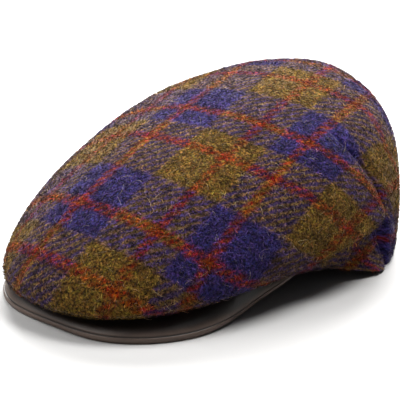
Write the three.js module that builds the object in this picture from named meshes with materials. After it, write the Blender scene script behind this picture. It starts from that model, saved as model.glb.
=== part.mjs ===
// Flat cap: a one-piece wool crown folded over a leather peak.
// Millimetres, +Z up, the front toward -Y, standing on z = 0 with the middle of its plan at the origin.
import * as THREE from 'three';

// Crown: half width, reach of the front and back from the widest line, roundness of the plan, height,
// thickness, and how far cloth turns in where its end lies flat, which stands upright where none turns in
const CROWN_HALF_WIDTH = 98;
const CROWN_FRONT = 182;
const CROWN_BACK = 95.4;
const CROWN_FRONT_ROUND = 2.36;
const CROWN_BACK_ROUND = 1.81;
const CROWN_TOP = 107.7;
const CROWN_TOP_BACK = 38.4;
const CROWN_CLOTH = 2.4;
const CROWN_FLAT_TUCK = 12;
const CROWN_COLUMNS = 96;
const OUTSIDE_ROWS = 22;
const OUTSIDE_FOLD_ROWS = 11;
const INSIDE_ROWS = 11;
const INSIDE_FOLD_ROWS = 6;
const PRESSED_FLAT = 1.25;
const WIDEST_LINE_Y = (CROWN_FRONT - CROWN_BACK) / 2;

// Crown sections from the front to the back: height of the fullest line, roundness of the top and of the
// shoulder, how far the cloth turns in below the fullest line and how squarely, and the height of its edge
const CROWN_SECTIONS = [
  { turn: 0, full: 18.6, round: 2.0, shoulder: 1.55, tuck: 15.8, hem: 2, edge: 11.8 },
  { turn: 30, full: 24.2, round: 1.97, shoulder: 1.54, tuck: 11.6, hem: 2, edge: 16.6 },
  { turn: 60, full: 40.0, round: 1.94, shoulder: 1.79, tuck: 16.8, hem: 2, edge: 17.9 },
  { turn: 90, full: 40.6, round: 1.97, shoulder: 1.98, tuck: 3.0, hem: 2.2, edge: 7.0 },
  { turn: 120, full: 43.7, round: 2.06, shoulder: 2.13, tuck: 6.0, hem: 2.6, edge: -1.0 },
  { turn: 150, full: 55.1, round: 2.26, shoulder: 2.63, tuck: 6.5, hem: 3.4, edge: 0 },
  { turn: 180, full: 59.5, round: 2.29, shoulder: 2.9, tuck: 6.0, hem: 3.6, edge: 0.0 },
];

// Back dart on each side: a sewn valley that runs from high on the side down and back to the edge
const DART = { top: 94, fade: 26, footBack: 32, lean: 27, bend: 1.6, depth: 1.8, width: 5 };

// Crease low on each side: the cloth above it rolls out, and below it the cloth is tucked in, deeper and
// deeper from behind the peak's end back to the dart, and comes out again lower down
const CREASE = { height: 31.5, slope: 0.2, depth: 8.5, soft: 4, drop: 24, roll: 2, rollWidth: 6 };
const CREASE_RUN = { start: -34, full: 8, dartGap: 4 };

// Rows below the fullest line: share of them that ends above the crease, and share that ends below it
const CREASE_ROWS = { above: 0.18, below: 0.46, highest: 0.1, lowest: 0.5, widest: 0.08 };

// Foot of each dart: the edge of the cloth is pushed out where it stands on the surface
const FLARE = { back: 17, spread: 13, height: 16, out: 3.5 };

// Columns stand closer together beside the darts
const COLUMN_CROWDING = 0.5;
const COLUMN_CROWD_AT = 0.55;

// Peak
const PEAK_HALF_TURN = 62;
const PEAK_SECTIONS = 36;
const PEAK_ROWS = 10;
const PEAK_ROUND_POINTS = 5;
const PEAK_SEAT_BACK = 3.0;

// Peak rows at equal steps from the middle to one end: reach of the outer edge, height of its underside,
// thickness, room left below the crown's fold, and the reach and height of the inner edge at the head opening
const PEAK_RAILS = [
  { edge: 175.5, foot: 0.2, thick: 5.5, slack: 0.4, inner: 108.0, rise: 14.0 },
  { edge: 174.0, foot: -0.2, thick: 5.5, slack: 1.2, inner: 105.3, rise: 14.0 },
  { edge: 150.4, foot: 0.0, thick: 5.5, slack: 1.8, inner: 100.0, rise: 13.0 },
  { edge: 107.5, foot: 6.0, thick: 4.4, slack: 1.8, inner: 92.0, rise: 11.5 },
  { edge: 89.5, foot: 14.0, thick: 2.8, slack: 0.8, inner: 80.0, rise: 14.4 },
];

const QUARTER = Math.PI / 2;
const radians = THREE.MathUtils.degToRad;
const { clamp, mapLinear, smoothstep } = THREE.MathUtils;

// Even cosine series through equally spaced rows from the front to the back
function cosineSeries(values) {
  const last = values.length - 1;
  const weights = values.map((_, k) => {
    const sum = values.reduce((total, value, j) => {
      const share = j === 0 || j === last ? 0.5 : 1;
      return total + share * value * Math.cos((Math.PI * k * j) / last);
    }, 0);
    return (sum * (k === 0 || k === last ? 1 : 2)) / last;
  });
  return (angle) => weights.reduce((total, weight, k) => total + weight * Math.cos(k * angle), 0);
}

// Smooth curve through equally spaced rows, level at the first row and straight past the last
function railCurve(values) {
  const last = values.length - 1;
  const row = (k) => (k > last ? 2 * values[last] - values[last - 1] : values[Math.abs(k)]);
  return (share) => {
    const place = share * last;
    const k = Math.min(Math.floor(place), last - 1);
    const f = place - k;
    const [a, b, c, d] = [row(k - 1), row(k), row(k + 1), row(k + 2)];
    return b + 0.5 * f * (c - a + f * (2 * a - 5 * b + 4 * c - d + f * (3 * (b - c) + d - a)));
  };
}

function columnsOf(rows, curve) {
  const names = Object.keys(rows[0]).filter((name) => name !== 'turn');
  return Object.fromEntries(names.map((name) => [name, curve(rows.map((row) => row[name]))]));
}

const crownCurves = columnsOf(CROWN_SECTIONS, cosineSeries);
const peakCurves = columnsOf(PEAK_RAILS, railCurve);

// Distance of the fullest line from the middle of the widest line: an egg with its own roundness at each end
function planReach(angle) {
  const forward = Math.cos(angle);
  const length = forward > 0 ? CROWN_FRONT : CROWN_BACK;
  const round = THREE.MathUtils.lerp(CROWN_BACK_ROUND, CROWN_FRONT_ROUND, (1 + forward) / 2);
  const across = Math.abs(Math.sin(angle) / CROWN_HALF_WIDTH) ** round;
  return (across + Math.abs(forward / length) ** round) ** (-1 / round);
}

// A point in the upright plane that is turned from the front about the middle of the widest line
function around(angle, reach, height) {
  return new THREE.Vector3(reach * Math.sin(angle), WIDEST_LINE_Y - reach * Math.cos(angle), height);
}

const crownTop = new THREE.Vector3(0, WIDEST_LINE_Y + CROWN_TOP_BACK, 0);

// The crown without its dents. Fall runs from 0 at the top to 1 at the fullest line and 2 at the edge.
function smoothCrown(angle, fall, inset) {
  const reach = planReach(angle) - inset;
  const full = crownCurves.full(angle);
  if (fall <= 1) {
    const sweep = (1 - fall) * QUARTER;
    const outward = Math.max(Math.cos(sweep), 0) ** (2 / crownCurves.round(angle));
    const rise = Math.max(Math.sin(sweep), 0) ** (2 / crownCurves.shoulder(angle));
    const point = crownTop.clone().lerp(around(angle, reach, 0), outward);
    point.z = full + (CROWN_TOP - inset - full) * rise;
    return point;
  }
  const sweep = (fall - 1) * QUARTER;
  const tuck = crownCurves.tuck(angle);
  const raised = inset * clamp(tuck / CROWN_FLAT_TUCK, 0, 1);
  const edge = Math.max(crownCurves.edge(angle), 0) + raised;
  const hem = 2 / crownCurves.hem(angle);
  const turnedIn = (tuck - raised) * (1 - Math.max(Math.cos(sweep), 0) ** hem);
  return around(angle, reach - turnedIn, full - (full - edge) * Math.sin(sweep) ** hem);
}

// Depth of the dart and the crease, less the flare, at a place on the crown. The crease lies higher inside,
// so that the cloth keeps its thickness.
function dentDepth(angle, fall, inset) {
  const point = smoothCrown(angle, fall, 0);
  const back = point.y - WIDEST_LINE_Y;
  const behindDart = back - DART.footBack + DART.lean * Math.max(point.z / DART.top, 0) ** DART.bend;
  const valley = DART.depth * Math.exp(-((behindDart / DART.width) ** 2));
  const dart = valley * smoothstep(DART.top - point.z, 0, DART.fade);
  const lower = CREASE.height + CREASE.slope * back - point.z;
  const below = smoothstep(lower + inset, -CREASE.soft / 2, CREASE.soft / 2);
  const returns = 1 - smoothstep(lower, CREASE.soft, CREASE.drop);
  const rolled = CREASE.roll * Math.exp(-((lower / CREASE.rollWidth + 1) ** 2));
  const opens = smoothstep(back, CREASE_RUN.start, CREASE_RUN.full);
  const closes = smoothstep(-behindDart, -CREASE_RUN.dartGap, CREASE_RUN.dartGap);
  const crease = (CREASE.depth * below * returns - rolled) * opens * closes;
  const near = Math.exp(-(((back - FLARE.back) / FLARE.spread) ** 2));
  return dart + crease - FLARE.out * near * (1 - smoothstep(point.z, 0, FLARE.height));
}

// The dents go straight in from the side below the fullest line, so that the edge keeps its height
function crownPoint(angle, fall, inset) {
  const step = 1e-3;
  const level = Math.min(fall, 1);
  const along = smoothCrown(angle + step, level, inset).sub(smoothCrown(angle - step, level, inset));
  const down = smoothCrown(angle, level, inset).sub(smoothCrown(angle, level - step, inset));
  const outward = along.cross(down).negate().normalize();
  return smoothCrown(angle, fall, inset).addScaledVector(outward, -dentDepth(angle, fall, inset));
}

// Fall of a row below the fullest line, for a share from 0 to 1: some of the rows follow the crease
function foldFall(angle, share, inset) {
  const full = crownCurves.full(angle);
  const drop = full - Math.max(crownCurves.edge(angle), 0);
  const line = CREASE.height + inset - CREASE.slope * planReach(angle) * Math.cos(angle);
  const middle = clamp((full - line) / drop, CREASE_ROWS.highest, CREASE_ROWS.lowest);
  const half = Math.min(CREASE.soft / 2 / drop, CREASE_ROWS.widest);
  const fallAt = (lowered) => 1 + Math.asin(lowered ** (crownCurves.hem(angle) / 2)) / QUARTER;
  const above = fallAt(middle - half);
  const below = fallAt(middle + half);
  if (share < CREASE_ROWS.above) {
    return mapLinear(share, 0, CREASE_ROWS.above, 1, above);
  }
  if (share < CREASE_ROWS.below) {
    return mapLinear(share, CREASE_ROWS.above, CREASE_ROWS.below, above, below);
  }
  return mapLinear(share, CREASE_ROWS.below, 1, below, 2);
}

// The outside lies flat where the cap stands on it
function pressed(point) {
  if (point.z < 3 * PRESSED_FLAT) {
    point.z = Math.max(1.5 * (point.z - PRESSED_FLAT), 0);
  }
  return point;
}

function columnAngle(column) {
  const half = CROWN_COLUMNS / 2;
  const u = Math.abs(column - half) / half;
  const wave = Math.sin(2 * Math.PI * (u - COLUMN_CROWD_AT)) + Math.sin(2 * Math.PI * COLUMN_CROWD_AT);
  const angle = Math.PI * (u - (COLUMN_CROWDING / (2 * Math.PI)) * wave);
  return column < half ? -angle : angle;
}

// Closed mesh from a stack of rings with the same number of points, ending on a point at both ends
function ringedSolid(rings, firstPoint, lastPoint) {
  const count = rings[0].length;
  const points = [firstPoint, ...rings.flat(), lastPoint];
  const faces = [];
  for (let k = 0; k < count; k += 1) {
    const next = (k + 1) % count;
    faces.push(0, 1 + k, 1 + next);
    for (let ring = 0; ring < rings.length - 1; ring += 1) {
      const a = 1 + ring * count;
      const b = a + count;
      faces.push(a + k, b + next, a + next, a + k, b + k, b + next);
    }
    const end = 1 + (rings.length - 1) * count;
    faces.push(end + k, points.length - 1, end + next);
  }
  const geometry = new THREE.BufferGeometry().setFromPoints(points);
  geometry.setIndex(faces);
  geometry.computeVertexNormals();
  return geometry;
}

function namedMesh(name, geometry, colour, roughness) {
  const material = new THREE.MeshStandardMaterial({ color: colour, roughness, metalness: 0 });
  const mesh = new THREE.Mesh(geometry, material);
  mesh.name = name;
  return mesh;
}

// Crown: out from the pole over the top, under the fold to the edge, and back up the inside
function buildCrown() {
  const angles = Array.from({ length: CROWN_COLUMNS }, (_, k) => columnAngle(k));
  const ring = (fall, inset) => angles.map((angle) => crownPoint(angle, fall, inset));
  const foldRing = (share, inset) =>
    angles.map((angle) => crownPoint(angle, foldFall(angle, share, inset), inset));
  const rings = [];
  for (let k = 1; k <= OUTSIDE_ROWS; k += 1) {
    rings.push(ring(k / OUTSIDE_ROWS, 0).map(pressed));
  }
  for (let k = 1; k <= OUTSIDE_FOLD_ROWS; k += 1) {
    rings.push(foldRing(k / OUTSIDE_FOLD_ROWS, 0).map(pressed));
  }
  for (let k = INSIDE_FOLD_ROWS; k >= 1; k -= 1) {
    rings.push(foldRing(k / INSIDE_FOLD_ROWS, CROWN_CLOTH));
  }
  for (let k = INSIDE_ROWS; k >= 1; k -= 1) {
    rings.push(ring(k / INSIDE_ROWS, CROWN_CLOTH));
  }
  const top = pressed(smoothCrown(0, 0, 0));
  const ceiling = smoothCrown(0, 0, CROWN_CLOTH);
  return namedMesh('crown', ringedSolid(rings, top, ceiling), 0x52463f, 1.0);
}

// Middle line of the peak's section: an arc from the outer edge, past its seat under the fold of the
// crown, to the head opening
function peakMiddle(angle, share) {
  const thick = peakCurves.thick(share);
  const half = thick / 2;
  const edge = new THREE.Vector2(peakCurves.edge(share) - half, peakCurves.foot(share) + half);
  const inner = new THREE.Vector2(peakCurves.inner(share), peakCurves.rise(share));
  const foldReach = planReach(angle) - crownCurves.tuck(angle);
  const seatHeight = crownCurves.edge(angle) - peakCurves.slack(share);
  const seat = new THREE.Vector2(Math.min(foldReach, edge.x - PEAK_SEAT_BACK), seatHeight);
  const slope = seat.clone().sub(edge).normalize();
  seat.addScaledVector(new THREE.Vector2(slope.y, -slope.x), -half);
  const toSeat = Math.sqrt(edge.distanceTo(seat));
  const f = toSeat / (toSeat + Math.sqrt(seat.distanceTo(inner)));
  const control = seat.clone().addScaledVector(edge, -((1 - f) ** 2)).addScaledVector(inner, -f * f);
  control.divideScalar(2 * f * (1 - f));
  return { curve: new THREE.QuadraticBezierCurve(edge, control, inner), half };
}

// Closed outline of one peak section: over the top, round the inner edge, back below, round the outer edge
function peakRing(share) {
  const angle = radians(PEAK_HALF_TURN) * share;
  const { curve, half } = peakMiddle(angle, Math.abs(share));
  const ring = [];
  const place = (along, tilt) => {
    const tangent = curve.getTangent(along);
    const normal = new THREE.Vector2(tangent.y, -tangent.x);
    const point = curve.getPoint(along);
    point.addScaledVector(normal, half * Math.cos(tilt)).addScaledVector(tangent, half * Math.sin(tilt));
    ring.push(point);
  };
  for (let k = 0; k <= PEAK_ROWS; k += 1) {
    place(k / PEAK_ROWS, 0);
  }
  for (let k = 1; k < PEAK_ROUND_POINTS; k += 1) {
    place(1, (Math.PI * k) / PEAK_ROUND_POINTS);
  }
  for (let k = PEAK_ROWS; k >= 0; k -= 1) {
    place(k / PEAK_ROWS, Math.PI);
  }
  for (let k = 1; k < PEAK_ROUND_POINTS; k += 1) {
    place(0, Math.PI + (Math.PI * k) / PEAK_ROUND_POINTS);
  }
  return ring.map((point) => around(angle, point.x, Math.max(point.y, 0)));
}

function middleOf(ring) {
  const sum = ring.reduce((total, point) => total.add(point), new THREE.Vector3());
  return sum.divideScalar(ring.length);
}

function buildPeak() {
  const rings = [];
  for (let k = 0; k <= PEAK_SECTIONS; k += 1) {
    rings.push(peakRing((2 * k) / PEAK_SECTIONS - 1));
  }
  const geometry = ringedSolid(rings, middleOf(rings[0]), middleOf(rings[rings.length - 1]));
  return namedMesh('peak', geometry, 0x2e2622, 0.55);
}

const cap = new THREE.Group();
cap.name = 'flat_cap';
cap.add(buildCrown(), buildPeak());

export default cap;
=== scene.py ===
"""Flat cap: a one-piece crown of checked wool tweed, folded over a leather peak."""

import logging
import math
from dataclasses import dataclass, field
from enum import Enum

import bpy
import numpy as np
from mathutils import Matrix, Vector


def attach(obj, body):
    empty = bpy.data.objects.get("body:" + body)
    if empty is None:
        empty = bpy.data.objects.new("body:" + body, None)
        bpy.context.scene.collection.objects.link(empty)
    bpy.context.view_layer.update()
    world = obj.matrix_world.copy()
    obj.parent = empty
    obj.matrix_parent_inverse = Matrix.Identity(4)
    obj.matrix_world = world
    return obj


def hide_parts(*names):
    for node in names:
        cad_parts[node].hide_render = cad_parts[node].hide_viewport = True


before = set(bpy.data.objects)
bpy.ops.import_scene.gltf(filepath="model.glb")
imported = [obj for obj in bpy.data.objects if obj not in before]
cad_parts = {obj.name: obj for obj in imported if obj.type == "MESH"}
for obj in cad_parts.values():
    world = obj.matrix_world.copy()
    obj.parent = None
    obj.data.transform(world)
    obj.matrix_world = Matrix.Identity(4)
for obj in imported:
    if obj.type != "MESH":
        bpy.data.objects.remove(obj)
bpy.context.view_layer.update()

BODY = "root"
MM = 0.001
FULL_TURN = 2 * math.pi
NOISE_RANGE = (0.3, 0.7)
LOG = logging.getLogger("flat_cap")

Array = np.ndarray
Piece = bpy.types.Object
Node = bpy.types.Node
Tree = bpy.types.NodeTree
Socket = bpy.types.NodeSocket


class Slot(Enum):
    """Material slots of the record."""

    TWEED = "tweed"
    LEATHER = "leather"


def linear(hex_colour: str) -> tuple[float, float, float, float]:
    """Turn an sRGB hex colour into linear light.

    Args:
        hex_colour: Six hex digits, with or without a leading mark.

    Returns:
        Linear red, green and blue, and full opacity.
    """
    digits = hex_colour.lstrip("#")
    channels = [int(digits[k:k + 2], 16) / 255 for k in (0, 2, 4)]
    bent = [c / 12.92 if c <= 0.04045 else ((c + 0.055) / 1.055) ** 2.4 for c in channels]
    return (*bent, 1.0)


def smoothstep(value: Array, start: float, end: float) -> Array:
    """Rise from 0 at start to 1 at end with level ends."""
    share = np.clip((value - start) / (end - start), 0, 1)
    return share * share * (3 - 2 * share)


def unit(vectors: Array) -> Array:
    """Scale vectors along the last axis to length one."""
    return vectors / np.maximum(np.linalg.norm(vectors, axis=-1, keepdims=True), 1e-12)


def add_node(tree: Tree, kind: str, sockets: dict, **settings) -> Node:
    """Add one shader node, set its options, and fill or link its input sockets.

    Args:
        tree: Node tree that the node goes in.
        kind: Blender's name of the node type, without ShaderNode before it.
        sockets: Input name or number, with a constant or an output socket to link.
        settings: Options of the node itself.

    Returns:
        The new node.
    """
    made = tree.nodes.new("ShaderNode" + kind)
    for name, value in settings.items():
        setattr(made, name, value)
    for name, value in sockets.items():
        if isinstance(value, Socket):
            tree.links.new(value, made.inputs[name])
        else:
            made.inputs[name].default_value = value
    return made


def add_math(tree: Tree, operation: str, *values: Socket | float) -> Socket:
    """Work out one operation on numbers or sockets."""
    return add_node(tree, "Math", dict(enumerate(values)), operation=operation).outputs[0]


def add_blend(tree: Tree, share: Socket | float, first: Socket | tuple, second: Socket | tuple) -> Socket:
    """Mix two colours: all of the first at share 0, all of the second at share 1."""
    return add_node(tree, "Mix", {0: share, 6: first, 7: second}, data_type="RGBA").outputs[2]


def add_range(tree: Tree, value: Socket, source: tuple, target: tuple, **settings) -> Socket:
    """Map the source range of a value to the target range, and hold it at both ends."""
    limits = dict(zip(("From Min", "From Max", "To Min", "To Max"), (*source, *target)))
    return add_node(tree, "MapRange", {"Value": value, **limits}, **settings).outputs[0]


def add_noise(tree: Tree, place: Socket, size: float, detail: float, roughness: float = 0.5) -> Node:
    """Add a noise with patches of about one size, in the unit of the place."""
    sockets = {"Vector": place, "Scale": 1 / size, "Detail": detail, "Roughness": roughness}
    return add_node(tree, "TexNoise", sockets)


def add_shader(tree: Tree, sockets: dict) -> None:
    """Close a material with its shader."""
    shader = add_node(tree, "BsdfPrincipled", sockets)
    add_node(tree, "OutputMaterial", {"Surface": shader.outputs[0]})


def new_material(name: str) -> tuple[bpy.types.Material, Tree]:
    """Make an empty node material.

    Args:
        name: Name of the real material.

    Returns:
        The material and its cleared node tree.
    """
    material = bpy.data.materials.new(name)
    material.use_nodes = True
    material.node_tree.nodes.clear()
    return material, material.node_tree


def new_object(name: str, data: bpy.types.ID) -> Piece:
    """Put data into a new object of the scene.

    Args:
        name: Name of the object.
        data: Mesh, light or camera.

    Returns:
        The object, at the origin.
    """
    made = bpy.data.objects.new(name, data)
    bpy.context.scene.collection.objects.link(made)
    return made


def new_piece(name: str, points: Array, faces: list[Array]) -> Piece:
    """Put a surface into a mesh object that sits at the origin.

    Args:
        name: Name of the piece.
        points: Vertices in millimetres, one row each.
        faces: Arrays of vertex numbers, one row for each face.

    Returns:
        The object, linked to the scene, with smooth faces.
    """
    loops = np.concatenate([rows.ravel() for rows in faces]).astype(np.int32)
    sizes = np.concatenate([np.full(len(rows), rows.shape[1]) for rows in faces])
    starts = np.concatenate([[0], np.cumsum(sizes)[:-1]]).astype(np.int32)
    mesh = bpy.data.meshes.new(name)
    mesh.vertices.add(len(points))
    mesh.vertices.foreach_set("co", (points * MM).astype(np.float32).ravel())
    mesh.loops.add(len(loops))
    mesh.loops.foreach_set("vertex_index", loops)
    mesh.polygons.add(len(starts))
    mesh.polygons.foreach_set("loop_start", starts)
    mesh.update(calc_edges=True)
    mesh.shade_smooth()
    return new_object(name, mesh)


def set_uv(piece: Piece, name: str, places: Array) -> None:
    """Give each vertex a place on the cloth, in millimetres, as a UV map.

    Args:
        piece: Object whose mesh gets the map.
        name: Name of the map.
        places: Two numbers for each vertex.
    """
    mesh = piece.data
    corners = np.empty(len(mesh.loops), np.int32)
    mesh.loops.foreach_get("vertex_index", corners)
    layer = mesh.uv_layers.new(name=name)
    layer.data.foreach_set("uv", places[corners].astype(np.float32).ravel())


def set_number(piece: Piece, name: str, values: Array) -> None:
    """Give each vertex one number as a named attribute."""
    attribute = piece.data.attributes.new(name, "FLOAT", "POINT")
    attribute.data.foreach_set("value", values.astype(np.float32))


def ring_faces(rings: int, count: int) -> list[Array]:
    """Join a stack of closed rings, with a point at each end, into one closed skin.

    Vertex 0 is the first point, then come the rings in order, and the last vertex is the other point.

    Args:
        rings: Number of rings.
        count: Number of points in a ring.

    Returns:
        Triangles at both ends and quads between the rings.
    """
    k = np.arange(count)
    after = (k + 1) % count
    first = np.stack([np.zeros_like(k), 1 + k, 1 + after], axis=1)
    a = 1 + np.arange(rings - 1)[:, None] * count
    b = a + count
    sides = np.stack([a + k, b + k, b + after, a + after], axis=-1).reshape(-1, 4)
    end = 1 + (rings - 1) * count
    last = np.stack([end + k, np.full_like(k, end + count), end + after], axis=1)
    return [first, sides, last]


@dataclass(frozen=True)
class Sett:
    """The check: how its blocks and lines repeat, in millimetres, the same in warp and weft."""

    long_gap: float = 57.8
    short_gap: float = 34.0
    line_width: float = 6.2
    edge_blur: float = 2.2
    line_across: float = -36.5
    line_along: float = -163.8
    twill_repeat: float = 6.5

    @property
    def repeat(self) -> float:
        """Width of one blue and one olive block."""
        return self.long_gap + self.short_gap

    def stops(self, blue: str, olive: str, red: str) -> list[tuple[float, str]]:
        """List the colour stops of one repeat, which starts in the middle of the line on blue.

        Args:
            blue: Colour of the blue yarn.
            olive: Colour of the olive yarn.
            red: Colour of the line.

        Returns:
            Place as a share of the repeat, and colour.
        """
        half = self.line_width / 2
        bands = [
            (half, red),
            (self.long_gap / 2, blue),
            (self.long_gap - half, olive),
            (self.long_gap + half, red),
            (self.long_gap + self.short_gap / 2, olive),
            (self.repeat - half, blue),
            (self.repeat + half, red),
        ]
        stops = [(0.0, red)]
        for (end, colour), (_, following) in zip(bands, bands[1:]):
            stops.append(((end - self.edge_blur / 2) / self.repeat, colour))
            stops.append(((end + self.edge_blur / 2) / self.repeat, following))
        return stops


@dataclass(frozen=True)
class Tweed:
    """Brushed wool tweed in a 2/2 twill.

    Warp and weft show by turns along fine diagonal ribs, so two colours that cross make streaks. The
    brushed face is matt, with dark gaps between the yarns and a soft haze where it is seen edge on.
    Sizes are in millimetres.
    """

    name: str = "wool_tweed"
    sett: Sett = field(default_factory=Sett)
    blue: str = "#1d1b45"
    olive: str = "#523814"
    red: str = "#600f01"
    haze: str = "#b7a9ad"
    gap_tone: float = 0.05
    face_tone: float = 2.5
    fleck_size: float = 1.35
    fleck_range: tuple[float, float] = (0.4, 0.63)
    dye_size: float = 2.4
    dye_redder: float = 0.012
    dye_yellower: float = 0.04
    brush_size: float = 6.0
    brush_tone: float = 0.45
    yarn_wander: float = 2.6
    wander_size: float = 7.0
    rib_break: float = 2.2
    rib_soft: float = 1.1
    rib_height: float = 0.35
    drawn_over: float = 0.14
    line_lift: float = 0.25
    roughness: float = 0.95
    gloss: float = 0.1
    sheen: float = 0.4
    sheen_roughness: float = 0.3
    bump: float = 0.8
    bump_height: float = 1.0

    def place(self, tree: Tree) -> Socket:
        """Pick the place on the cloth: the crown's own map, or the back panel's behind the dart.

        Args:
            tree: Node tree of the material.

        Returns:
            Place on the cloth in millimetres.
        """
        front = add_node(tree, "UVMap", {}, uv_map="cloth")
        back = add_node(tree, "UVMap", {}, uv_map="cloth_back")
        behind = add_node(tree, "Attribute", {}, attribute_name="behind_dart")
        side = add_math(tree, "GREATER_THAN", behind.outputs["Fac"], 0.0)
        sockets = {0: side, 4: front.outputs[0], 5: back.outputs[0]}
        return add_node(tree, "Mix", sockets, data_type="VECTOR").outputs[1]

    def yarn(self, tree: Tree, place: Socket, start: float) -> Node:
        """Colour of the warp or the weft: the repeat of the sett along one coordinate of the cloth.

        Args:
            tree: Node tree of the material.
            place: Coordinate on the cloth in millimetres.
            start: Place of the line in a blue block.

        Returns:
            Ramp with the colour of the yarn, and its alpha, which is 1 on the red lines and else 0.
        """
        share = add_math(tree, "DIVIDE", add_math(tree, "SUBTRACT", place, start), self.sett.repeat)
        ramp = add_node(tree, "ValToRGB", {"Fac": add_math(tree, "FRACT", share)})
        stops = self.sett.stops(self.blue, self.olive, self.red)
        elements = ramp.color_ramp.elements
        while len(elements) < len(stops):
            elements.new(1.0)
        for element, (position, colour) in zip(elements, stops):
            element.position = position
            element.color = (*linear(colour)[:3], float(colour == self.red))
        return ramp

    def weave(self, tree: Tree, place: Socket) -> tuple[Socket, Socket]:
        """Weave the check: warp and weft colours change places along the ribs of the twill.

        The yarns wander a little, the thick red yarns lie over the others, and the ribs are broken up
        where the brushing has drawn fibres over, so that neither colour is ever quite hidden.

        Args:
            tree: Node tree of the material.
            place: Place on the cloth in millimetres.

        Returns:
            Colour of the weave, and the height of the ribs from 0 to 1.
        """
        wander = add_noise(tree, place, self.wander_size, detail=4.0, roughness=0.7)
        sockets = {0: wander.outputs["Color"], 1: (0.5,) * 3}
        centred = add_node(tree, "VectorMath", sockets, operation="SUBTRACT")
        sockets = {0: centred.outputs[0], 1: (2 * self.yarn_wander,) * 3, 2: place}
        moved = add_node(tree, "VectorMath", sockets, operation="MULTIPLY_ADD")
        axes = add_node(tree, "SeparateXYZ", {0: moved.outputs[0]})
        warp = self.yarn(tree, axes.outputs[0], self.sett.line_across)
        weft = self.yarn(tree, axes.outputs[1], self.sett.line_along)
        slant = add_math(tree, "SUBTRACT", axes.outputs[0], axes.outputs[1])
        rib = add_math(tree, "SINE", add_math(tree, "MULTIPLY", slant, FULL_TURN / self.sett.twill_repeat))
        brushed = add_noise(tree, place, self.fleck_size, detail=2.0).outputs["Fac"]
        broken = add_math(tree, "MULTIPLY_ADD", brushed, 2 * self.rib_break, rib)
        thicker = add_math(tree, "SUBTRACT", weft.outputs["Alpha"], warp.outputs["Alpha"])
        over = add_range(
            tree,
            add_math(tree, "MULTIPLY_ADD", thicker, self.line_lift, broken),
            (self.rib_break - self.rib_soft, self.rib_break + self.rib_soft),
            (self.drawn_over, 1 - self.drawn_over),
            interpolation_type="SMOOTHSTEP",
        )
        return add_blend(tree, over, warp.outputs["Color"], weft.outputs["Color"]), over

    def flecked(self, tree: Tree, place: Socket, woven: Socket) -> tuple[Socket, Socket]:
        """Break the weave up into flecks: dark gaps and pale yarn, each a little yellower or redder.

        Args:
            tree: Node tree of the material.
            place: Place on the cloth in millimetres.
            woven: Colour of the weave.

        Returns:
            Colour with the flecks, and their height from 0 to 1.
        """
        fleck = add_noise(tree, place, self.fleck_size, detail=4.0, roughness=0.75).outputs["Fac"]
        tone = add_range(tree, fleck, self.fleck_range, (self.gap_tone, self.face_tone))
        dye = add_noise(tree, place, self.dye_size, detail=3.0).outputs["Fac"]
        hue = add_range(tree, dye, NOISE_RANGE, (0.5 - self.dye_redder, 0.5 + self.dye_yellower))
        brush = add_noise(tree, place, self.brush_size, detail=2.0).outputs["Fac"]
        patch = add_range(tree, brush, NOISE_RANGE, (1 - self.brush_tone, 1 + self.brush_tone))
        sockets = {"Color": woven, "Hue": hue, "Value": add_math(tree, "MULTIPLY", tone, patch)}
        return add_node(tree, "HueSaturation", sockets).outputs[0], fleck

    def finish(self, tree: Tree, sockets: dict) -> None:
        """Close the material with a matt shader that has the wool's haze.

        Args:
            tree: Node tree of the material.
            sockets: Other inputs of the shader.
        """
        matt = {
            "Roughness": self.roughness,
            "Specular IOR Level": self.gloss,
            "Sheen Weight": self.sheen,
            "Sheen Roughness": self.sheen_roughness,
            "Sheen Tint": linear(self.haze),
        }
        add_shader(tree, {**matt, **sockets})

    def material(self) -> bpy.types.Material:
        """Make the tweed.

        Returns:
            A material that reads the cloth's own UV maps.
        """
        material, tree = new_material(self.name)
        place = self.place(tree)
        woven, ribs = self.weave(tree, place)
        mixed, fleck = self.flecked(tree, place, woven)
        height = add_math(tree, "MULTIPLY_ADD", ribs, self.rib_height, fleck)
        sockets = {"Strength": self.bump, "Distance": self.bump_height * MM, "Height": height}
        bump = add_node(tree, "Bump", sockets)
        self.finish(tree, {"Base Color": mixed, "Normal": bump.outputs[0]})
        return material


@dataclass(frozen=True)
class WoolFibre(Tweed):
    """Loose fibre of the brushed nap: it takes the colour of the yarn at its root, darker or paler."""

    name: str = "wool_fibre"
    pale: str = "#b3a284"
    pale_share: float = 0.06
    sheen: float = 0.05

    def place(self, tree: Tree) -> Socket:
        """Read the place of the fibre's root on the cloth."""
        return add_node(tree, "UVMap", {}, uv_map="cloth").outputs[0]

    def material(self) -> bpy.types.Material:
        """Make the fibre.

        Returns:
            A material that reads the root's place on the cloth and the fibre's own tone and hue.
        """
        material, tree = new_material(self.name)
        place = self.place(tree)
        woven, _ = self.weave(tree, place)
        flecked, _ = self.flecked(tree, place, woven)
        mixed = add_blend(tree, self.pale_share, flecked, linear(self.pale))
        tone = add_node(tree, "Attribute", {}, attribute_name="tone")
        hue = add_node(tree, "Attribute", {}, attribute_name="hue")
        sockets = {"Color": mixed, "Hue": hue.outputs["Fac"], "Value": tone.outputs["Fac"]}
        toned = add_node(tree, "HueSaturation", sockets)
        self.finish(tree, {"Base Color": toned.outputs[0]})
        return material


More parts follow.
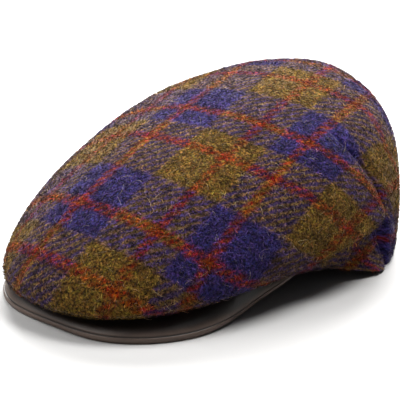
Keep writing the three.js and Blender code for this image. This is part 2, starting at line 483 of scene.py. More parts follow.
@dataclass(frozen=True)
class Leather:
    """Dark brown grained cowhide with a satin wax finish.

    Fine pebbles break up the soft gloss. The outer edge is paler: partly rubbed wear, partly a painted
    highlight on its lit upper side and round. Sizes are in millimetres.
    """

    name: str = "grained_leather"
    dark: str = "#0b0705"
    light: str = "#150e0a"
    # Pale edge colour: rubbed wear plus a painted highlight where the edge catches the light.
    wear_and_highlight: str = "#67554b"
    least_wear_and_highlight: float = 0.4
    grain: float = 1.3
    cloud: float = 15.6
    roughness: tuple[float, float] = (0.38, 0.6)
    ior: float = 1.42
    bump: float = 0.35
    bump_height: float = 0.25

    def material(self) -> bpy.types.Material:
        """Make the leather.

        Returns:
            A material on Object coordinates, with the rim attribute for the worn edge and its painted
            highlight.
        """
        material, tree = new_material(self.name)
        where = add_node(tree, "TexCoord", {}).outputs["Object"]
        sockets = {"Vector": where, "Scale": 1 / (self.grain * MM)}
        pebbles = add_node(tree, "TexVoronoi", sockets, feature="SMOOTH_F1").outputs["Distance"]
        cloud = add_noise(tree, where, self.cloud * MM, detail=4.0).outputs["Fac"]
        base = add_blend(tree, cloud, linear(self.dark), linear(self.light))
        # Painted highlight and wear: the rim attribute blends in the pale edge colour, patchy with the cloud.
        rim = add_node(tree, "Attribute", {}, attribute_name="rim").outputs["Fac"]
        wear_and_highlight_mask = add_math(tree, "MULTIPLY", rim, add_range(tree, cloud, (0.0, 1.0), (self.least_wear_and_highlight, 1.0)))
        colour = add_blend(tree, wear_and_highlight_mask, base, linear(self.wear_and_highlight))
        gloss = add_range(tree, cloud, (0.0, 1.0), self.roughness)
        sockets = {"Strength": self.bump, "Distance": self.bump_height * MM, "Height": pebbles}
        bump = add_node(tree, "Bump", sockets).outputs[0]
        add_shader(tree, {"Base Color": colour, "Roughness": gloss, "IOR": self.ior, "Normal": bump})
        return material


@dataclass(frozen=True)
class FloorPaper:
    """Matt pale background paper, with a faint tooth so that it isn't one flat tone."""

    name: str = "pale_background_paper"
    white: str = "#acabaa"
    shade: str = "#a7a6a5"
    patches_per_metre: float = 3.0
    roughness: float = 0.9

    def material(self) -> bpy.types.Material:
        """Make the paper.

        Returns:
            A material on Object coordinates.
        """
        material, tree = new_material(self.name)
        where = add_node(tree, "TexCoord", {}).outputs["Object"]
        tooth = add_noise(tree, where, 1 / self.patches_per_metre, detail=2.0).outputs["Fac"]
        tone = add_blend(tree, tooth, linear(self.white), linear(self.shade))
        add_shader(tree, {"Base Color": tone, "Roughness": self.roughness})
        return material


@dataclass(frozen=True)
class Section:
    """One upright section of the crown: a row of the table, at equal turns from the front to the back.

    It gives the height of the fullest line, the roundness of the dome out and up, how far the cloth is
    tucked in below, the roundness of the hem, and the height of the edge.
    """

    full: float
    round: float
    shoulder: float
    tuck: float
    hem: float
    edge: float


SECTIONS = (
    Section(full=18.6, round=2.0, shoulder=1.55, tuck=15.8, hem=2.0, edge=11.8),
    Section(full=24.2, round=1.97, shoulder=1.54, tuck=11.6, hem=2.0, edge=16.6),
    Section(full=40.0, round=1.94, shoulder=1.79, tuck=16.8, hem=2.0, edge=17.9),
    Section(full=40.6, round=1.97, shoulder=1.98, tuck=3.0, hem=2.2, edge=7.0),
    Section(full=43.7, round=2.06, shoulder=2.13, tuck=6.0, hem=2.6, edge=-1.0),
    Section(full=55.1, round=2.26, shoulder=2.63, tuck=6.5, hem=3.4, edge=0.0),
    Section(full=59.5, round=2.29, shoulder=2.9, tuck=6.0, hem=3.6, edge=0.0),
)


@dataclass(frozen=True)
class Dart:
    """Sewn dart on each side of the back: a wide valley with a sharp seam that takes up cloth."""

    top: float = 94.0
    fade: float = 26.0
    foot_back: float = 32.0
    lean: float = 27.0
    bend: float = 1.6
    depth: float = 1.8
    width: float = 5.0
    seam_depth: float = 2.4
    seam_width: float = 1.1
    seam_fade: float = 12.0
    seam_clear: float = 2.2
    taken_up: float = 18.0


@dataclass(frozen=True)
class Crease:
    """Crease low on each side, up to the dart: cloth rolls out above it, is tucked in below and returns."""

    height: float = 31.5
    slope: float = 0.2
    depth: float = 8.5
    soft: float = 3.0
    hold: float = 14.0
    drop: float = 44.0
    roll: float = 2.0
    roll_width: float = 6.0
    start: float = -46.0
    full: float = -14.0
    dart_gap: float = 4.0


@dataclass(frozen=True)
class Flare:
    """Foot of each dart: the edge of the cloth is pushed out where it stands on the surface."""

    back: float = 17.0
    spread: float = 13.0
    height: float = 16.0
    out: float = 3.5


@dataclass(frozen=True)
class Lay:
    """How the flat cloth lies on the crown: shares by which it turns, spreads and bows.

    Across and along are millimetres on the cloth from the top of the crown, and each share multiplies
    them in hundreds of millimetres.
    """

    narrowing: float = -0.165
    narrowing_bow: float = -0.106
    slant: float = 0.345
    slant_bow: float = 0.116
    turn: float = -0.319
    cross_bow: float = -0.098
    fan: float = -0.164
    long_bow: float = 0.049

    def place(self, across: Array, along: Array) -> Array:
        """Move the evenly spread cloth to how it was cut and blocked.

        Across gains a share of itself that grows toward the front, and a slant; along gains a turn with
        across, a bow with its square, and a fan with the product of both.

        Args:
            across: Distance from the middle of the cap, positive to the wearer's left.
            along: Distance from the top of the crown, positive to the back.

        Returns:
            Two coordinates on the cloth.
        """
        s = along / 100
        t = across / 100
        u = across * (1 + self.narrowing * s + self.narrowing_bow * s * s)
        u = u + 100 * (self.slant * s + self.slant_bow * s * s)
        v = along + 100 * (self.turn * t + self.cross_bow * t * t + self.fan * t * s + self.long_bow * s * s)
        return np.stack([u, v], axis=-1)


@dataclass
class CrownForm:
    """The crown's surface, in millimetres: an egg-shaped plan under a dome that is highest at the back."""

    half_width: float = 98.0
    front: float = 182.0
    back: float = 95.4
    front_round: float = 2.36
    back_round: float = 1.81
    top: float = 107.7
    top_back: float = 38.4
    cloth: float = 2.4
    flat_tuck: float = 12.0
    pressed_flat: float = 1.25
    dart: Dart = field(default_factory=Dart)
    crease: Crease = field(default_factory=Crease)
    flare: Flare = field(default_factory=Flare)

    @property
    def widest_y(self) -> float:
        """Place of the widest line along the cap."""
        return (self.front - self.back) / 2

    @property
    def top_point(self) -> Array:
        """Plan point under the highest place."""
        return np.array([0.0, self.widest_y + self.top_back])

    def section(self, name: str, angle: Array) -> Array:
        """Read one column of the section table at any angle, by an even cosine series through its rows.

        Args:
            name: Column of the table.
            angle: Angle from the front.

        Returns:
            Value at each angle.
        """
        values = np.array([getattr(row, name) for row in SECTIONS])
        last = len(values) - 1
        share = np.ones(last + 1)
        share[[0, last]] = 0.5
        order = np.arange(last + 1)
        waves = np.cos(np.pi * np.outer(order, order) / last)
        weights = 2 * share * (waves @ (share * values)) / last
        return np.tensordot(np.cos(angle[..., None] * order), weights, axes=1)

    def plan_reach(self, angle: Array) -> Array:
        """Reach of the fullest line from the middle of the widest line.

        It is a superellipse whose length and roundness differ between the front and the back.

        Args:
            angle: Angle from the front.

        Returns:
            Reach at each angle.
        """
        forward = np.cos(angle)
        length = np.where(forward > 0, self.front, self.back)
        power = self.back_round + (self.front_round - self.back_round) * (1 + forward) / 2
        across = np.abs(np.sin(angle) / self.half_width) ** power
        return (across + np.abs(forward / length) ** power) ** (-1 / power)

    def around(self, angle: Array, reach: Array, height: Array) -> Array:
        """Points in upright planes that turn from the front about the middle of the widest line.

        Args:
            angle: Angle of the plane from the front, positive to the wearer's left.
            reach: Distance out from the middle of the widest line.
            height: Height above the floor.

        Returns:
            Points, with the last axis for x, y and z.
        """
        return np.stack(
            [reach * np.sin(angle), self.widest_y - reach * np.cos(angle), height + 0 * reach], axis=-1
        )

    def smooth(self, angle: Array, fall: Array, inset: float) -> Array:
        """The crown without its dents.

        Fall runs from 0 at the top to 1 at the fullest line, along a superellipse quarter from the top
        point out to the plan, and on to 2 at the edge, along a smaller quarter that turns in below.

        Args:
            angle: Angle from the front, positive to the wearer's left.
            fall: Place between the top and the edge.
            inset: Depth below the outside of the cloth.

        Returns:
            Points, with the last axis for x, y and z.
        """
        reach = self.plan_reach(angle) - inset
        full = self.section("full", angle)
        sweep = np.clip(1 - fall, 0, 1) * np.pi / 2
        outward = np.maximum(np.cos(sweep), 0) ** (2 / self.section("round", angle))
        rise = np.maximum(np.sin(sweep), 0) ** (2 / self.section("shoulder", angle))
        plan = self.around(angle, reach, 0 * reach)[..., :2]
        above = self.top_point + (plan - self.top_point) * outward[..., None]
        height = full + (self.top - inset - full) * rise
        upper = np.concatenate([above, height[..., None]], axis=-1)
        swing = np.clip(fall - 1, 0, 1) * np.pi / 2
        tuck = self.section("tuck", angle)
        raised = inset * np.clip(tuck / self.flat_tuck, 0, 1)
        edge = np.maximum(self.section("edge", angle), 0) + raised
        hem = 2 / self.section("hem", angle)
        turned_in = (tuck - raised) * (1 - np.maximum(np.cos(swing), 0) ** hem)
        lower = self.around(angle, reach - turned_in, full - (full - edge) * np.sin(swing) ** hem)
        return np.where((fall <= 1)[..., None], upper, lower)

    def behind_dart(self, points: Array) -> Array:
        """Distance behind the dart's seam, whose place runs back by a power of the height as it comes down.

        Args:
            points: Points of the crown.

        Returns:
            Distance along the cap, positive behind the seam.
        """
        dart = self.dart
        seam = dart.foot_back - dart.lean * np.maximum(points[..., 2] / dart.top, 0) ** dart.bend
        return points[..., 1] - self.widest_y - seam

    def dents(self, points: Array, inset: float) -> Array:
        """Depth of the dart's valley and seam and of the tucked side below the crease, less the flare.

        The crease lies higher inside, so that the cloth keeps its thickness.

        Args:
            points: Points of the smooth outside.
            inset: Depth below the outside of the cloth.

        Returns:
            Depth below the smooth outside.
        """
        dart, crease, flare = self.dart, self.crease, self.flare
        height = points[..., 2]
        back = points[..., 1] - self.widest_y
        off = self.behind_dart(points)
        valley = dart.depth * np.exp(-((off / dart.width) ** 2)) * smoothstep(dart.top - height, 0, dart.fade)
        stitched = smoothstep(dart.top - height, 0, dart.seam_fade)
        seam = dart.seam_depth * np.exp(-((off / dart.seam_width) ** 2)) * stitched
        lower = crease.height + crease.slope * back - height
        below = smoothstep(lower + inset, -crease.soft / 2, crease.soft / 2)
        returns = 1 - smoothstep(lower, crease.hold, crease.drop)
        rolled = crease.roll * np.exp(-((lower / crease.roll_width + 1) ** 2))
        opens = smoothstep(back, crease.start, crease.full)
        closes = smoothstep(-off, -crease.dart_gap, crease.dart_gap)
        tucked = (crease.depth * below * returns - rolled) * opens * closes
        near = np.exp(-(((back - flare.back) / flare.spread) ** 2))
        pushed = flare.out * near * (1 - smoothstep(height, 0, flare.height))
        return valley + seam + tucked - pushed

    def normals(self, angle: Array, fall: Array, inset: float) -> Array:
        """Outward normals of the smooth crown: the cross product of short steps round it and down it.

        Args:
            angle: Angle from the front.
            fall: Place between the top and the edge.
            inset: Depth below the outside of the cloth.

        Returns:
            Vectors of length one.
        """
        step = 1e-3
        along = self.smooth(angle + step, fall, inset) - self.smooth(angle - step, fall, inset)
        below = self.smooth(angle, np.minimum(fall + step, 2), inset)
        above = self.smooth(angle, np.maximum(fall - step, 0), inset)
        return -unit(np.cross(along, below - above))

    def surface(self, angle: Array, fall: Array, inset: float) -> Array:
        """The dented crown: the smooth crown moved inward by the depth of the dents.

        They go in along the normal, and straight in from the side below the fullest line.

        Args:
            angle: Angle from the front.
            fall: Place between the top and the edge.
            inset: Depth below the outside of the cloth.

        Returns:
            Points, with the last axis for x, y and z.
        """
        depth = self.dents(self.smooth(angle, fall, 0), inset)
        outward = self.normals(angle, np.minimum(fall, 1), inset)
        return self.smooth(angle, fall, inset) - outward * depth[..., None]

    def press(self, points: Array) -> Array:
        """Flatten the outside where the cap stands on it.

        What lies under pressed_flat comes down to the floor, and the rise above it is half as steep
        again, up to three times pressed_flat, where it meets the free cloth.

        Args:
            points: Points of the outside.

        Returns:
            The points with their new heights.
        """
        height = points[..., 2]
        low = np.maximum(1.5 * (height - self.pressed_flat), 0)
        pressed = points.copy()
        pressed[..., 2] = np.where(height < 3 * self.pressed_flat, low, height)
        return pressed


@dataclass
class Crown:
    """The crown: one closed skin of tweed, out over the top, under the fold and back up the inside."""

    form: CrownForm = field(default_factory=CrownForm)
    lay: Lay = field(default_factory=Lay)
    tweed: Tweed = field(default_factory=Tweed)
    columns: int = 470
    outside_rows: int = 120
    fold_rows: int = 44
    inside_rows: int = 40
    crowding: float = 0.55
    crowd_at: float = 0.55
    wave_height: float = 0.5
    wave_length: tuple[float, float] = (38.0, 90.0)
    wave_seed: int = 11
    wave_count: int = 9
    still_height: tuple[float, float] = (4.0, 30.0)
    still_fall: float = 0.25

    def angles(self) -> Array:
        """Angles of the columns, from the front round the wearer's left.

        Even steps less a sine wave bring them closer together at the darts.

        Returns:
            One angle for each column.
        """
        turn = np.arange(self.columns) / self.columns
        half = np.where(turn < 0.5, 2 * turn, 2 - 2 * turn)
        wave = np.sin(FULL_TURN * (half - self.crowd_at)) + math.sin(FULL_TURN * self.crowd_at)
        angle = np.pi * (half - self.crowding / FULL_TURN * wave)
        return np.where(turn <= 0.5, angle, FULL_TURN - angle)

    def falls(self) -> Array:
        """Rows of the outside, in even steps down to the fullest line and on under the fold.

        Returns:
            Fall of each row, from just over 0 to 2.
        """
        over = np.arange(1, self.outside_rows + 1) / self.outside_rows
        under = 1 + np.arange(1, self.fold_rows + 1) / self.fold_rows
        return np.concatenate([over, under])

    def waves(self, places: Array) -> Array:
        """Slack of the cloth: a sum of a few long plane waves with seeded directions.

        Args:
            places: Places on the cloth.

        Returns:
            Height of the waves.
        """
        draw = np.random.default_rng(self.wave_seed)
        heading = draw.uniform(0, FULL_TURN, self.wave_count)
        length = draw.uniform(*self.wave_length, self.wave_count)
        phase = draw.uniform(0, FULL_TURN, self.wave_count)
        direction = np.stack([np.cos(heading), np.sin(heading)]) * FULL_TURN / length
        return self.wave_height * np.sin(places @ direction + phase).mean(axis=-1) * 2

    def cloth_places(self, points: Array) -> tuple[Array, Array]:
        """Lay the flat cloth on rows of the crown.

        On the crown's map a point lies at its distance from the top along its column, in that column's
        plan direction. Behind the darts it lies further back on the cloth, by what the darts take up.

        Args:
            points: Smooth rows from the top down, with rows first and columns second.

        Returns:
            Places on the cloth for the crown and for the back panel.
        """
        form = self.form
        pole = np.broadcast_to(np.append(form.top_point, points[0, :, 2].max()), points[:1].shape)
        steps = np.linalg.norm(np.diff(np.concatenate([pole, points]), axis=0), axis=-1)
        distance = np.cumsum(steps, axis=0)
        heading = unit(points[0, :, :2] - form.top_point)
        spread = distance[..., None] * heading
        front = self.lay.place(spread[..., 0], spread[..., 1])
        sewn = smoothstep(form.dart.top - points[..., 2], 0, form.dart.fade)
        back = front + np.stack([0 * sewn, form.dart.taken_up * sewn], axis=-1)
        return front, back

    def outside(self) -> tuple[Array, ...]:
        """Work out the outside of the crown.

        Returns:
            Points, normals, places on the crown's map and on the back panel's, and the distance behind
            the dart, with rows first and columns second.
        """
        angle, fall = np.meshgrid(self.angles(), self.falls())
        smooth = self.form.smooth(angle, fall, 0)
        normals = self.form.normals(angle, fall, 0)
        points = self.form.surface(angle, fall, 0)
        front, back = self.cloth_places(smooth)
        slack = smoothstep(smooth[..., 2], *self.still_height) * smoothstep(fall, 0, self.still_fall)
        points = points + normals * (self.waves(front) * slack)[..., None]
        return self.form.press(points), normals, front, back, self.form.behind_dart(smooth)

    def build(self) -> Piece:
        """Make the crown's mesh, dress it in tweed and stand it in for the crown's solid.

        Returns:
            The crown.
        """
        outer, _, front, back, behind = self.outside()
        share = np.linspace(2, 0, self.inside_rows + 1)[:-1]
        angle, fall = np.meshgrid(self.angles(), share)
        inner = self.form.surface(angle, fall, self.form.cloth)
        turned = self.form.smooth(angle, fall, self.form.cloth)[::-1]
        inner_front, inner_back = (places[::-1] for places in self.cloth_places(turned))
        inner_behind = self.form.behind_dart(turned)[::-1]
        peak_top = np.append(self.form.top_point, self.form.top)
        ceiling = np.append(self.form.top_point, self.form.top - self.form.cloth)
        rows = np.concatenate([outer, inner])
        points = np.concatenate([[peak_top], rows.reshape(-1, 3), [ceiling]])
        piece = new_piece("tweed_crown", points, ring_faces(len(rows), self.columns))
        pole = np.zeros((1, 2))
        for name, over, under in (("cloth", front, inner_front), ("cloth_back", back, inner_back)):
            set_uv(piece, name, np.concatenate([pole, over.reshape(-1, 2), under.reshape(-1, 2), pole]))
        distance = np.concatenate([[-1.0], behind.ravel(), inner_behind.ravel(), [-1.0]])
        set_number(piece, "behind_dart", distance)
        piece.data.materials.append(self.tweed.material())
        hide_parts("crown")
        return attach(piece, BODY)


@dataclass
class Nap:
    """Brushed fibres that stand off the tweed: thin tapered hairs, each rooted in the crown."""

    name: str
    seed: int
    count: int
    length: tuple[float, float]
    lift: tuple[float, float]
    thickness: float
    joints: int
    curl: float
    pale_share: float
    tone: tuple[float, float]
    hue_spread: float = 0.014
    lowest_root: float = 3.0
    root_depth: float = 0.25
    arc: float = 0.62 * np.pi
    taper: float = 0.5

    def roots(self, crown: Crown) -> tuple[Array, ...]:
        """Scatter roots evenly over the outside of the crown.

        Cells of the crown's grid are drawn in proportion to their area, and the root lies at a random
        place in its cell.

        Args:
            crown: The crown that the fibres grow on.

        Returns:
            Points, normals, one direction along the rows, and places on the cloth.
        """
        points, normals, front, back, behind = crown.outside()
        places = np.where((behind > 0)[..., None], back, front)
        along = np.roll(points, -1, axis=1) - points
        steps = np.diff(points, axis=0)
        down = np.concatenate([steps, steps[-1:]])
        area = np.linalg.norm(np.cross(along, down), axis=-1)[:-1]
        height = points[..., 2]
        clear = (np.abs(behind) > crown.form.dart.seam_clear) | (height > crown.form.dart.top)
        area = area * ((height > self.lowest_root) & clear)[:-1]
        draw = np.random.default_rng(self.seed)
        cell = draw.choice(area.size, self.count, p=(area / area.sum()).ravel())
        row, column = np.divmod(cell, area.shape[1])
        right = (column + 1) % area.shape[1]
        f = draw.random((self.count, 1))
        g = draw.random((self.count, 1))

        def within(values: Array) -> Array:
            """Blend the four corners of each drawn cell.

            Args:
                values: Values on the crown's grid.

            Returns:
                Value at each root.
            """
            over = values[row, column] * (1 - f) + values[row, right] * f
            under = values[row + 1, column] * (1 - f) + values[row + 1, right] * f
            return over * (1 - g) + under * g

        normal = unit(within(normals))
        tangent = unit(np.cross(normal, unit(within(down))))
        return within(points), normal, tangent, places[row, column]

    def build(self, crown: Crown) -> Piece:
        """Grow the fibres and join them into one mesh.

        Each fibre leaves its root in a random direction along the cloth, rises in an arc by its lift and
        bends sideways by its curl. Its section is a triangle that tapers to a point.

        Args:
            crown: The crown that the fibres grow on.

        Returns:
            The piece.
        """
        root, normal, tangent, places = self.roots(crown)
        draw = np.random.default_rng(self.seed + 1)
        heading = draw.uniform(0, FULL_TURN, (self.count, 1))
        side = np.cross(normal, tangent)
        ahead = tangent * np.cos(heading) + side * np.sin(heading)
        aside = np.cross(normal, ahead)
        length = draw.uniform(*self.length, (self.count, 1, 1))
        lift = draw.uniform(*self.lift, (self.count, 1, 1))
        swerve = draw.normal(0, self.curl, (self.count, 1, 1))
        twist = draw.uniform(0, FULL_TURN, (self.count, 1, 1))
        share = np.linspace(0, 1, self.joints + 1)[None, :, None]
        bend = swerve * share
        path = root[:, None] + ahead[:, None] * (length * np.sinc(bend / np.pi) * np.cos(bend) * share)
        path = path + aside[:, None] * (length * np.sin(bend) * share)
        path = path + normal[:, None] * (lift * np.sin(share * self.arc) - self.root_depth)
        rim = (np.arange(3) * FULL_TURN / 3 + twist)[..., None]
        around = normal[:, None, None] * np.sin(rim) + aside[:, None, None] * np.cos(rim)
        radius = self.thickness / 2 * (1 - self.taper * share[:, :-1])
        rings = path[:, :-1, None] + around * radius[..., None]
        points = np.concatenate([rings.reshape(self.count, -1, 3), path[:, -1:]], axis=1)
        points[..., 2] = np.maximum(points[..., 2], 0)
        piece = new_piece(self.name, points.reshape(-1, 3), self.faces())
        set_uv(piece, "cloth", np.repeat(places, points.shape[1], axis=0))
        tone = np.exp(draw.uniform(*np.log(self.tone), self.count))
        set_number(piece, "tone", np.repeat(tone, points.shape[1]))
        hue = draw.normal(0.5, self.hue_spread, self.count)
        set_number(piece, "hue", np.repeat(hue, points.shape[1]))
        fibre = WoolFibre(name=f"wool_fibre_{self.name}", pale_share=self.pale_share)
        piece.data.materials.append(fibre.material())
        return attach(piece, BODY)

    def faces(self) -> list[Array]:
        """Join the points of all the fibres: a closed base, quads between the joints and a pointed end.

        Returns:
            Triangles at both ends and quads between them.
        """
        size = 3 * self.joints + 1
        k = np.arange(3)
        after = (k + 1) % 3
        start = 3 * np.arange(self.joints - 1)[:, None]
        sides = np.stack([start + k, start + after, start + 3 + after, start + 3 + k], axis=-1).reshape(-1, 4)
        end = 3 * (self.joints - 1)
        tips = np.stack([end + k, end + after, np.full(3, end + 3)], axis=-1)
        base = np.array([[2, 1, 0]])
        offset = size * np.arange(self.count)[:, None, None]
        return [(rows + offset).reshape(-1, rows.shape[1]) for rows in (base, sides, tips)]


@dataclass(frozen=True)
class Rail:
    """One row of the peak's table, at equal steps from its middle to one end.

    It gives the reach of the outer edge and the height of its foot, the thickness, the slack under the
    crown's fold, and the reach and height of the inner edge.
    """

    edge: float
    foot: float
    thick: float
    slack: float
    inner: float
    rise: float


RAILS = (
    Rail(edge=175.5, foot=0.2, thick=5.5, slack=0.4, inner=108.0, rise=14.0),
    Rail(edge=174.0, foot=-0.2, thick=5.5, slack=1.2, inner=105.3, rise=14.0),
    Rail(edge=150.4, foot=0.0, thick=5.5, slack=1.8, inner=100.0, rise=13.0),
    Rail(edge=107.5, foot=6.0, thick=4.4, slack=1.8, inner=92.0, rise=11.5),
    Rail(edge=89.5, foot=14.0, thick=2.8, slack=0.8, inner=80.0, rise=14.4),
)


@dataclass
class Peak:
    """The peak: leather turned over a stiff board, with a sewn seam round its outer edge."""

    form: CrownForm = field(default_factory=CrownForm)
    leather: Leather = field(default_factory=Leather)
    half_turn: float = 62.0
    seat_back: float = 3.0
    sections: int = 300
    rows: int = 60
    round_points: int = 22
    seam_at: float = 0.014
    seam_depth: float = 0.6
    seam_width: float = 0.012
    # Width of the pale edge band along the section: rubbed wear plus a painted highlight.
    wear_and_highlight_share: float = 0.085

    def rail(self, name: str, share: Array) -> Array:
        """Read one column of the table by a Catmull-Rom curve that is level at the middle.

        Args:
            name: Column of the table.
            share: Place between the middle, 0, and the end, 1.

        Returns:
            Value at each place.
        """
        values = np.array([getattr(row, name) for row in RAILS])
        last = len(values) - 1
        rows = np.concatenate([[values[1]], values, [2 * values[last] - values[last - 1]]])
        k = np.minimum((share * last).astype(int), last - 1)
        f = share * last - k
        a, b, c, d = (rows[k + step] for step in range(4))
        return b + 0.5 * f * (c - a + f * (2 * a - 5 * b + 4 * c - d + f * (3 * (b - c) + d - a)))

    def middle_line(self, angle: Array, share: Array) -> tuple[Array, ...]:
        """Three points of the section's middle line, which is a quadratic arc in reach and height.

        It runs from the outer edge, past its seat under the fold of the crown, to the head opening.

        Args:
            angle: Angle of each section.
            share: Place of each section between the middle and the end.

        Returns:
            Start, control point and end, and half the thickness.
        """
        half = self.rail("thick", share) / 2
        edge = np.stack([self.rail("edge", share) - half, self.rail("foot", share) + half], axis=-1)
        inner = np.stack([self.rail("inner", share), self.rail("rise", share)], axis=-1)
        fold = self.form.plan_reach(angle) - self.form.section("tuck", angle)
        height = self.form.section("edge", angle) - self.rail("slack", share)
        seat = np.stack([np.minimum(fold, edge[:, 0] - self.seat_back), height], axis=-1)
        slope = unit(seat - edge)
        seat = seat - np.stack([slope[:, 1], -slope[:, 0]], axis=-1) * half[:, None]
        to_seat = np.sqrt(np.linalg.norm(seat - edge, axis=-1))
        f = (to_seat / (to_seat + np.sqrt(np.linalg.norm(inner - seat, axis=-1))))[:, None]
        control = (seat - edge * (1 - f) ** 2 - inner * f * f) / (2 * f * (1 - f))
        return edge, control, inner, half

    def outline(self) -> tuple[Array, Array]:
        """Walk once round a section, with points closer together toward the outer edge.

        Returns:
            Place along the middle line, and tilt from its upper side, at each point.
        """
        over = np.linspace(0, 1, self.rows + 1) ** 2
        bend = np.linspace(0, np.pi, self.round_points + 1)[1:-1]
        along = np.concatenate([over, np.ones_like(bend), over[::-1], np.zeros_like(bend)])
        tilt = np.concatenate([0 * over, bend, 0 * over + np.pi, np.pi + bend])
        return along, tilt

    def build(self) -> Piece:
        """Make the peak's mesh, dress it in leather and stand it in for the peak's solid.

        A point is the arc's point, moved by half the thickness along the arc's normal and tangent as the
        tilt turns, and drawn in where the seam runs beside the outer edge.

        Returns:
            The peak.
        """
        turn = np.linspace(-1, 1, self.sections + 1)
        angle = np.radians(self.half_turn) * turn
        edge, control, inner, half = self.middle_line(angle, np.abs(turn))
        along, tilt = self.outline()
        a = along[None, :, None]
        start, bow, end = edge[:, None], control[:, None], inner[:, None]
        arc = start * (1 - a) ** 2 + bow * 2 * a * (1 - a) + end * a * a
        tangent = unit((bow - start) * (1 - a) + (end - bow) * a)
        normal = np.stack([tangent[..., 1], -tangent[..., 0]], axis=-1)
        seam = np.exp(-(((along - self.seam_at) / self.seam_width) ** 2)) * (tilt == 0)
        # Pale band along the outer edge, on its upper side and round but not underneath or in the seam's
        # groove: rubbed wear plus a painted highlight of the lit edge.
        rim = np.exp(-((along / self.wear_and_highlight_share) ** 2)) * (tilt != np.pi) * (1 - seam)
        reach = half[:, None] - self.seam_depth * seam[None]
        section = arc + normal * (reach * np.cos(tilt))[..., None]
        section = section + tangent * (reach * np.sin(tilt))[..., None]
        height = np.maximum(section[..., 1], 0)
        rings = self.form.around(angle[:, None] + 0 * height, section[..., 0], height)
        ends = rings.mean(axis=1)
        points = np.concatenate([ends[:1], rings.reshape(-1, 3), ends[-1:]])
        piece = new_piece("leather_peak", points, ring_faces(len(rings), len(along)))
        near = np.broadcast_to(rim, rings.shape[:2]).ravel()
        set_number(piece, "rim", np.concatenate([[0.0], near, [0.0]]))
        piece.data.materials.append(self.leather.material())
        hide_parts("peak")
        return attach(piece, BODY)


@dataclass(frozen=True)
class Softbox:
    """Square soft light that faces the cap: its place and side in metres, and its power in watts."""

    name: str
    place: tuple[float, float, float]
    side: float
    power: float
    aim: tuple[float, float, float] = (0.0, 0.0, 0.05)

    def build(self) -> None:
        """Hang the light."""
        lamp = bpy.data.lights.new(self.name, "AREA")
        lamp.size = self.side
        lamp.energy = self.power
        holder = new_object(self.name, lamp)
        holder.location = self.place
        holder.rotation_euler = (Vector(self.aim) - Vector(self.place)).to_track_quat("-Z", "Y").to_euler()


SOFTBOXES = (
    Softbox("back_softbox", (-1.17, 1.45, 1.17), side=1.6, power=220),
    Softbox("left_softbox", (-0.84, -0.97, 1.53), side=1.2, power=42),
    Softbox("right_softbox", (0.38, 0.58, 1.9), side=0.9, power=62),
)


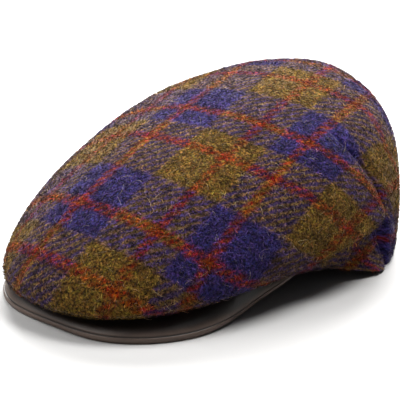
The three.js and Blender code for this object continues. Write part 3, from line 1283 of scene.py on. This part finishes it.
@dataclass
class Studio:
    """Pale paper floor, three softboxes, a dim sky, and the camera at the photograph's angle.

    The camera's lengths are in millimetres and its angles in degrees.
    """

    floor_half: float = 6000.0
    floor_tiles: int = 8
    paper: FloorPaper = field(default_factory=FloorPaper)
    sky: float = 0.09
    sky_colour: str = "#fbfbff"
    azimuth: float = 44.0
    elevation: float = 21.89
    roll: float = -0.77
    distance: float = 2174.0
    frame_width: float = 254.8
    aim_right: float = -30.43
    aim_up: float = 27.79
    sensor: float = 36.0
    clip_end: float = 50.0

    def floor(self) -> None:
        """Lay the floor: one flat sheet at the height that the cap stands on."""
        tiles = self.floor_tiles
        side = np.linspace(-self.floor_half, self.floor_half, tiles + 1)
        x, y = np.meshgrid(side, side)
        points = np.stack([x, y, 0 * x], axis=-1).reshape(-1, 3)
        corner = (np.arange(tiles)[:, None] * (tiles + 1) + np.arange(tiles)).ravel()
        faces = np.stack([corner, corner + 1, corner + tiles + 2, corner + tiles + 1], axis=-1)
        piece = new_piece("floor", points, [faces])
        piece.data.materials.append(self.paper.material())

    def camera(self, widest_y: float) -> None:
        """Set the camera: it turns about the middle of the widest line, with a small roll.

        Args:
            widest_y: Place of the widest line in millimetres.
        """
        a, e, r = (math.radians(value) for value in (self.azimuth, self.elevation, self.roll))
        back = Vector((math.sin(a) * math.cos(e), -math.cos(a) * math.cos(e), math.sin(e)))
        level = Vector((math.cos(a), math.sin(a), 0))
        rise = back.cross(level)
        right = level * math.cos(r) + rise * math.sin(r)
        up = rise * math.cos(r) - level * math.sin(r)
        place = right * self.aim_right + up * self.aim_up + back * self.distance + Vector((0, widest_y, 0))
        data = bpy.data.cameras.new("photo_camera")
        data.sensor_width = self.sensor
        data.lens = self.sensor * self.distance / self.frame_width
        data.clip_end = self.clip_end
        holder = new_object("photo_camera", data)
        turn = Matrix((right, up, back)).transposed().to_4x4()
        holder.matrix_world = Matrix.Translation(place * MM) @ turn
        bpy.context.scene.camera = holder

    def build(self, widest_y: float) -> None:
        """Set up the floor, lights, sky and camera.

        Args:
            widest_y: Place of the cap's widest line in millimetres.
        """
        scene = bpy.context.scene
        self.floor()
        for softbox in SOFTBOXES:
            softbox.build()
        world = bpy.data.worlds.new("pale_room")
        world.use_nodes = True
        sky = world.node_tree.nodes["Background"]
        sky.inputs["Color"].default_value = linear(self.sky_colour)
        sky.inputs["Strength"].default_value = self.sky
        scene.world = world
        scene.view_settings.view_transform = "Standard"
        self.camera(widest_y)


def report(piece: Piece) -> None:
    """Log a piece and the number of its triangles."""
    piece.data.calc_loop_triangles()
    LOG.info("%s: %d triangles", piece.name, len(piece.data.loop_triangles))


def main() -> None:
    """Build the cap and the studio."""
    logging.basicConfig(level=logging.INFO, format="%(name)s %(message)s")
    crown = Crown()
    Studio().build(crown.form.widest_y)
    report(crown.build())
    report(Peak().build())
    for layer in range(3):
        nap = Nap(
            name=f"wool_nap_{layer + 1}",
            seed=100 + layer,
            count=19000,
            length=(1.6, 4.4),
            lift=(0.4, 1.6),
            thickness=0.42,
            joints=2,
            curl=0.8,
            pale_share=0.03,
            tone=(0.2, 2.8),
        )
        report(nap.build(crown))
    strays = Nap(
        name="stray_wool_hairs",
        seed=200,
        count=700,
        length=(4.0, 9.0),
        lift=(0.8, 2.6),
        thickness=0.16,
        joints=7,
        curl=1.6,
        pale_share=0.5,
        tone=(0.9, 2.2),
    )
    report(strays.build(crown))


if __name__ == "__main__":
    main()
